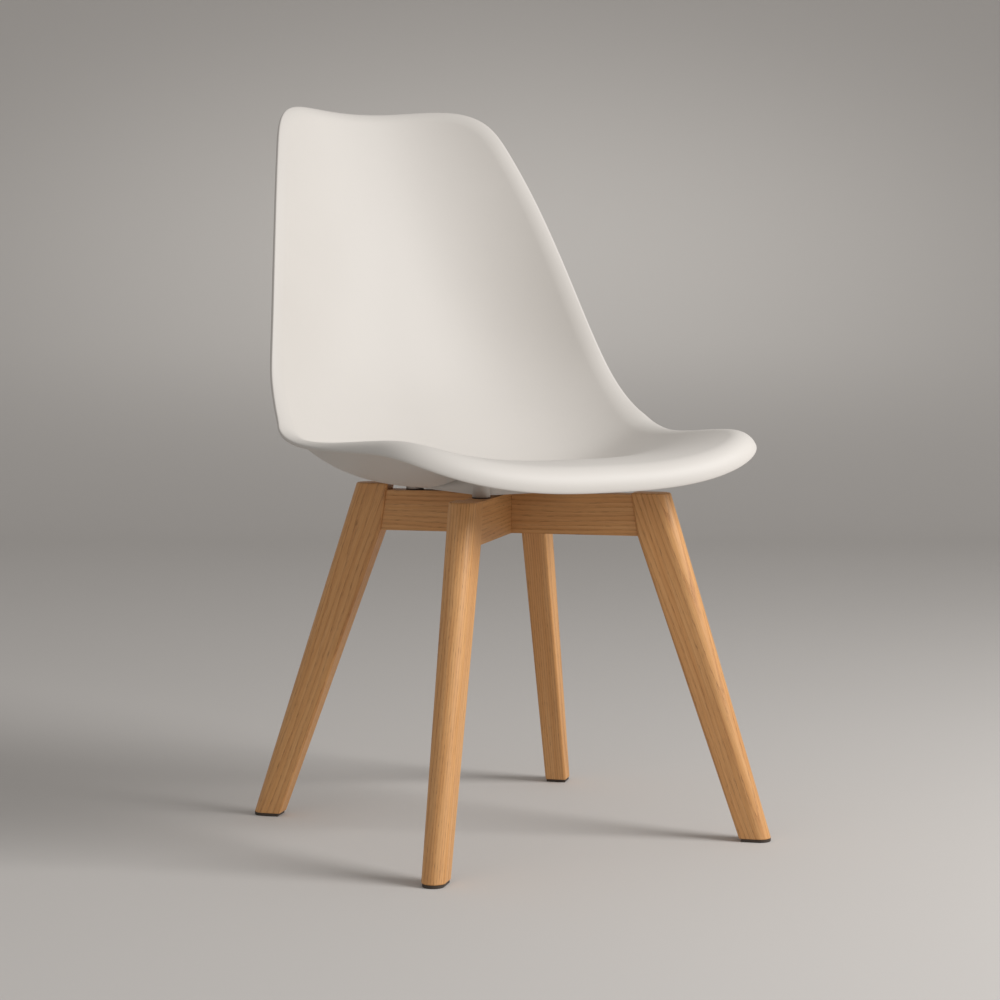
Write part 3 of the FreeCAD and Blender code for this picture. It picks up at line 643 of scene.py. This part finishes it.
def cornerPoints(node, turn):
    # a node's points in its diagonal's own axes, in millimetres
    flat = np.zeros(len(node.data.vertices) * 3)
    node.data.vertices.foreach_get("co", flat)
    points = flat.reshape(-1, 3) / mm - [0, shell["crossingY"], 0]
    c, s = math.cos(math.radians(turn)), math.sin(math.radians(turn))
    return np.column_stack([points[:, 0] * c + points[:, 1] * s,
                            points[:, 1] * c - points[:, 0] * s, points[:, 2]])


def turned(points, turn):
    # from a diagonal's own axes to the chair's
    c, s = math.cos(math.radians(turn)), math.sin(math.radians(turn))
    x, y, z = points[..., 0], points[..., 1], points[..., 2]
    return np.stack([x * c - y * s, x * s + y * c + shell["crossingY"], z], axis=-1)


def grainOf(points, footReach, headReach, seed):
    # metres along the leg, across it and through it, moved apart from leg to leg
    lean = math.atan2(footReach - headReach, shell["railTop"])
    x, y, z = [points[..., k].reshape(-1) * mm for k in range(3)]
    out = x - footReach * mm
    along = z * math.cos(lean) - out * math.sin(lean)
    through = z * math.sin(lean) + out * math.cos(lean)
    return np.column_stack([along + seed * 0.01, y + seed * 0.003, through - seed * 0.002])


for corner, (turn, end) in corners.items():
    makeLeg(corner, turn, end)
print("legs made")


# Rails keep their CAD solids' shape: a merged copy with its edges eased by a bevel

rail = {"edgeEase": 0.9, "easeSteps": 3}


def makeRail(name, turn):
    mesh = nodes[name].data.copy()
    mesh.name = name + "Eased"
    work = bmesh.new()
    work.from_mesh(mesh)
    bmesh.ops.remove_doubles(work, verts=work.verts, dist=0.01 * mm)
    bmesh.ops.dissolve_limit(work, angle_limit=math.radians(1), verts=work.verts, edges=work.edges)
    work.to_mesh(mesh)
    work.free()
    piece = bpy.data.objects.new(name.replace("cross_rail_", "rail."), mesh)
    bpy.context.scene.collection.objects.link(piece)
    local = cornerPoints(piece, turn) * mm
    layer = mesh.attributes.new("grain", "FLOAT_VECTOR", "POINT")
    grain = local + [turn * 0.013, turn * 0.002, 0.021]
    layer.data.foreach_set("vector", grain.astype(np.float32).reshape(-1))
    mesh.materials.clear()
    mesh.materials.append(finishes["oak_wood"])
    mesh.shade_smooth()
    mesh.set_sharp_from_angle(angle=math.radians(30))
    bevel = piece.modifiers.new("ease", "BEVEL")
    bevel.width = rail["edgeEase"] * mm
    bevel.segments = rail["easeSteps"]
    bevel.limit_method = "ANGLE"
    bevel.angle_limit = math.radians(40)
    bevel.harden_normals = True
    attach(piece, "root")
    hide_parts(name)
    return piece


makeRail("cross_rail_right", corners["front_right"][0])
makeRail("cross_rail_left", corners["front_left"][0])
print("rails made")


# The hidden fittings keep their CAD solids and get their finishes

slotOf = {row["node"]: row["material_slot"] for row in frame["record"]["subparts"]}
for name, node in nodes.items():
    node.data.materials.clear()
    node.data.materials.append(finishes[slotOf[name]])
print("fittings finished")


# Floor, light and camera

view = {
    "place": (-1.4328, -2.4533, 0.6083), "turn": -30.82, "pitch": -4.78, "lens": 89.13,
    "sensor": 36, "lit": (0, 0, 0.45),          # lit is the place that the lamps look at
}
stage = {
    "floorBehind": 3.2, "floorAhead": 4.5, "sweep": 1.6, "wallHeight": 4.0, "halfWidth": 6.0,
    "colour": (196, 192, 188), "cloudColour": (194, 190, 186),
    # painted light on the backdrop: its colour, how wide it spreads, the height of its brightest
    # point, and the height over which it fades in from the floor
    "paintedLightColour": (240, 236, 231), "paintedLightWidth": 2.4, "paintedLightHeight": 0.72, "paintedLightFrom": 0.5,
}


def makeStage():
    # floor, quarter circle and wall as one profile, carried sideways
    turn = math.radians(view["turn"])
    r, back = stage["sweep"], stage["floorBehind"]
    arc = np.linspace(0, math.pi / 2, 33)
    depth = np.concatenate([[-stage["floorAhead"]], back + r * np.sin(arc), [back + r]])
    height = np.concatenate([[0], r * (1 - np.cos(arc)), [stage["wallHeight"]]])
    side = np.array([-stage["halfWidth"], stage["halfWidth"]])
    ahead = np.array([-math.sin(turn), math.cos(turn), 0])
    right = np.array([math.cos(turn), math.sin(turn), 0])
    points = (depth[:, None, None] * ahead + side[None, :, None] * right
              + height[:, None, None] * np.array([0, 0, 1]))
    mesh = bpy.data.meshes.new("studioFloor")
    faces = gridFaces(len(depth), 2, flipped=True)
    mesh.from_pydata(points.reshape(-1, 3).tolist(), [], faces.tolist())
    mesh.shade_smooth()
    finish = Finish("studioPaint", Roughness=0.9)
    cloud = finish.noise(finish.place(), 1.2, 2.0)
    x, y, z = finish.axes(finish.place())
    right = math.radians(view["turn"])
    sideways = x * math.cos(right) + y * math.sin(right)
    # painted light: a pool of light painted into the backdrop's colour. It is brightest straight
    # ahead at a set height, fades sideways and up and down, and is kept off the floor near the
    # chair.
    paintedLight = 1.0 - ((sideways / stage["paintedLightWidth"]) ** 2 + (z - stage["paintedLightHeight"]) ** 2).root()
    colour = finish.blend(cloud, shade(*stage["colour"]), shade(*stage["cloudColour"]))
    colour = finish.blend(paintedLight.between(0.0, 1.0) * z.between(0.0, stage["paintedLightFrom"]), colour,
                          shade(*stage["paintedLightColour"]))
    mesh.materials.append(finish.feed(Base_Color=colour))
    floor = bpy.data.objects.new("studioFloor", mesh)
    bpy.context.scene.collection.objects.link(floor)


lamps = {
    # bearing from the chair in the picture's own terms: degrees right of straight behind the
    # camera, degrees up, metres away, size in metres, watts
    "key": (68, 29, 3.0, 1.5, 84),
    "fill": (-30, 30, 4.0, 3.0, 6),
}


def makeLamp(name, bearing, up, away, across, power):
    turn = math.radians(view["turn"] + bearing)
    rise = math.radians(up)
    target = Vector(view["lit"])
    toLamp = Vector((math.sin(turn) * math.cos(rise), -math.cos(turn) * math.cos(rise),
                     math.sin(rise)))
    light = bpy.data.lights.new(name, "AREA")
    light.shape = "DISK"
    light.size = across
    light.energy = power
    lamp = bpy.data.objects.new(name, light)
    lamp.location = target + toLamp * away
    lamp.rotation_euler = toLamp.to_track_quat("Z", "Y").to_euler()
    bpy.context.scene.collection.objects.link(lamp)


def makeCamera():
    camera = bpy.data.cameras.new("camera")
    camera.sensor_width = view["sensor"]
    camera.lens = view["lens"]
    placed = bpy.data.objects.new("camera", camera)
    placed.location = view["place"]
    placed.rotation_euler = Euler((math.radians(90 + view["pitch"]), 0,
                                   math.radians(view["turn"])), "XYZ")
    bpy.context.scene.collection.objects.link(placed)
    bpy.context.scene.camera = placed


sky = {"colour": (1.0, 0.985, 0.97, 1.0), "strength": 0.42}


def makeWorld():
    world = bpy.data.worlds.new("studio")
    world.use_nodes = True
    background = world.node_tree.nodes["Background"]
    background.inputs["Color"].default_value = sky["colour"]
    background.inputs["Strength"].default_value = sky["strength"]
    bpy.context.scene.world = world


makeStage()
for name, lamp in lamps.items():
    makeLamp(name, *lamp)
makeCamera()
makeWorld()
bpy.context.scene.view_settings.view_transform = "Standard"
print("stage, lamps and camera made")
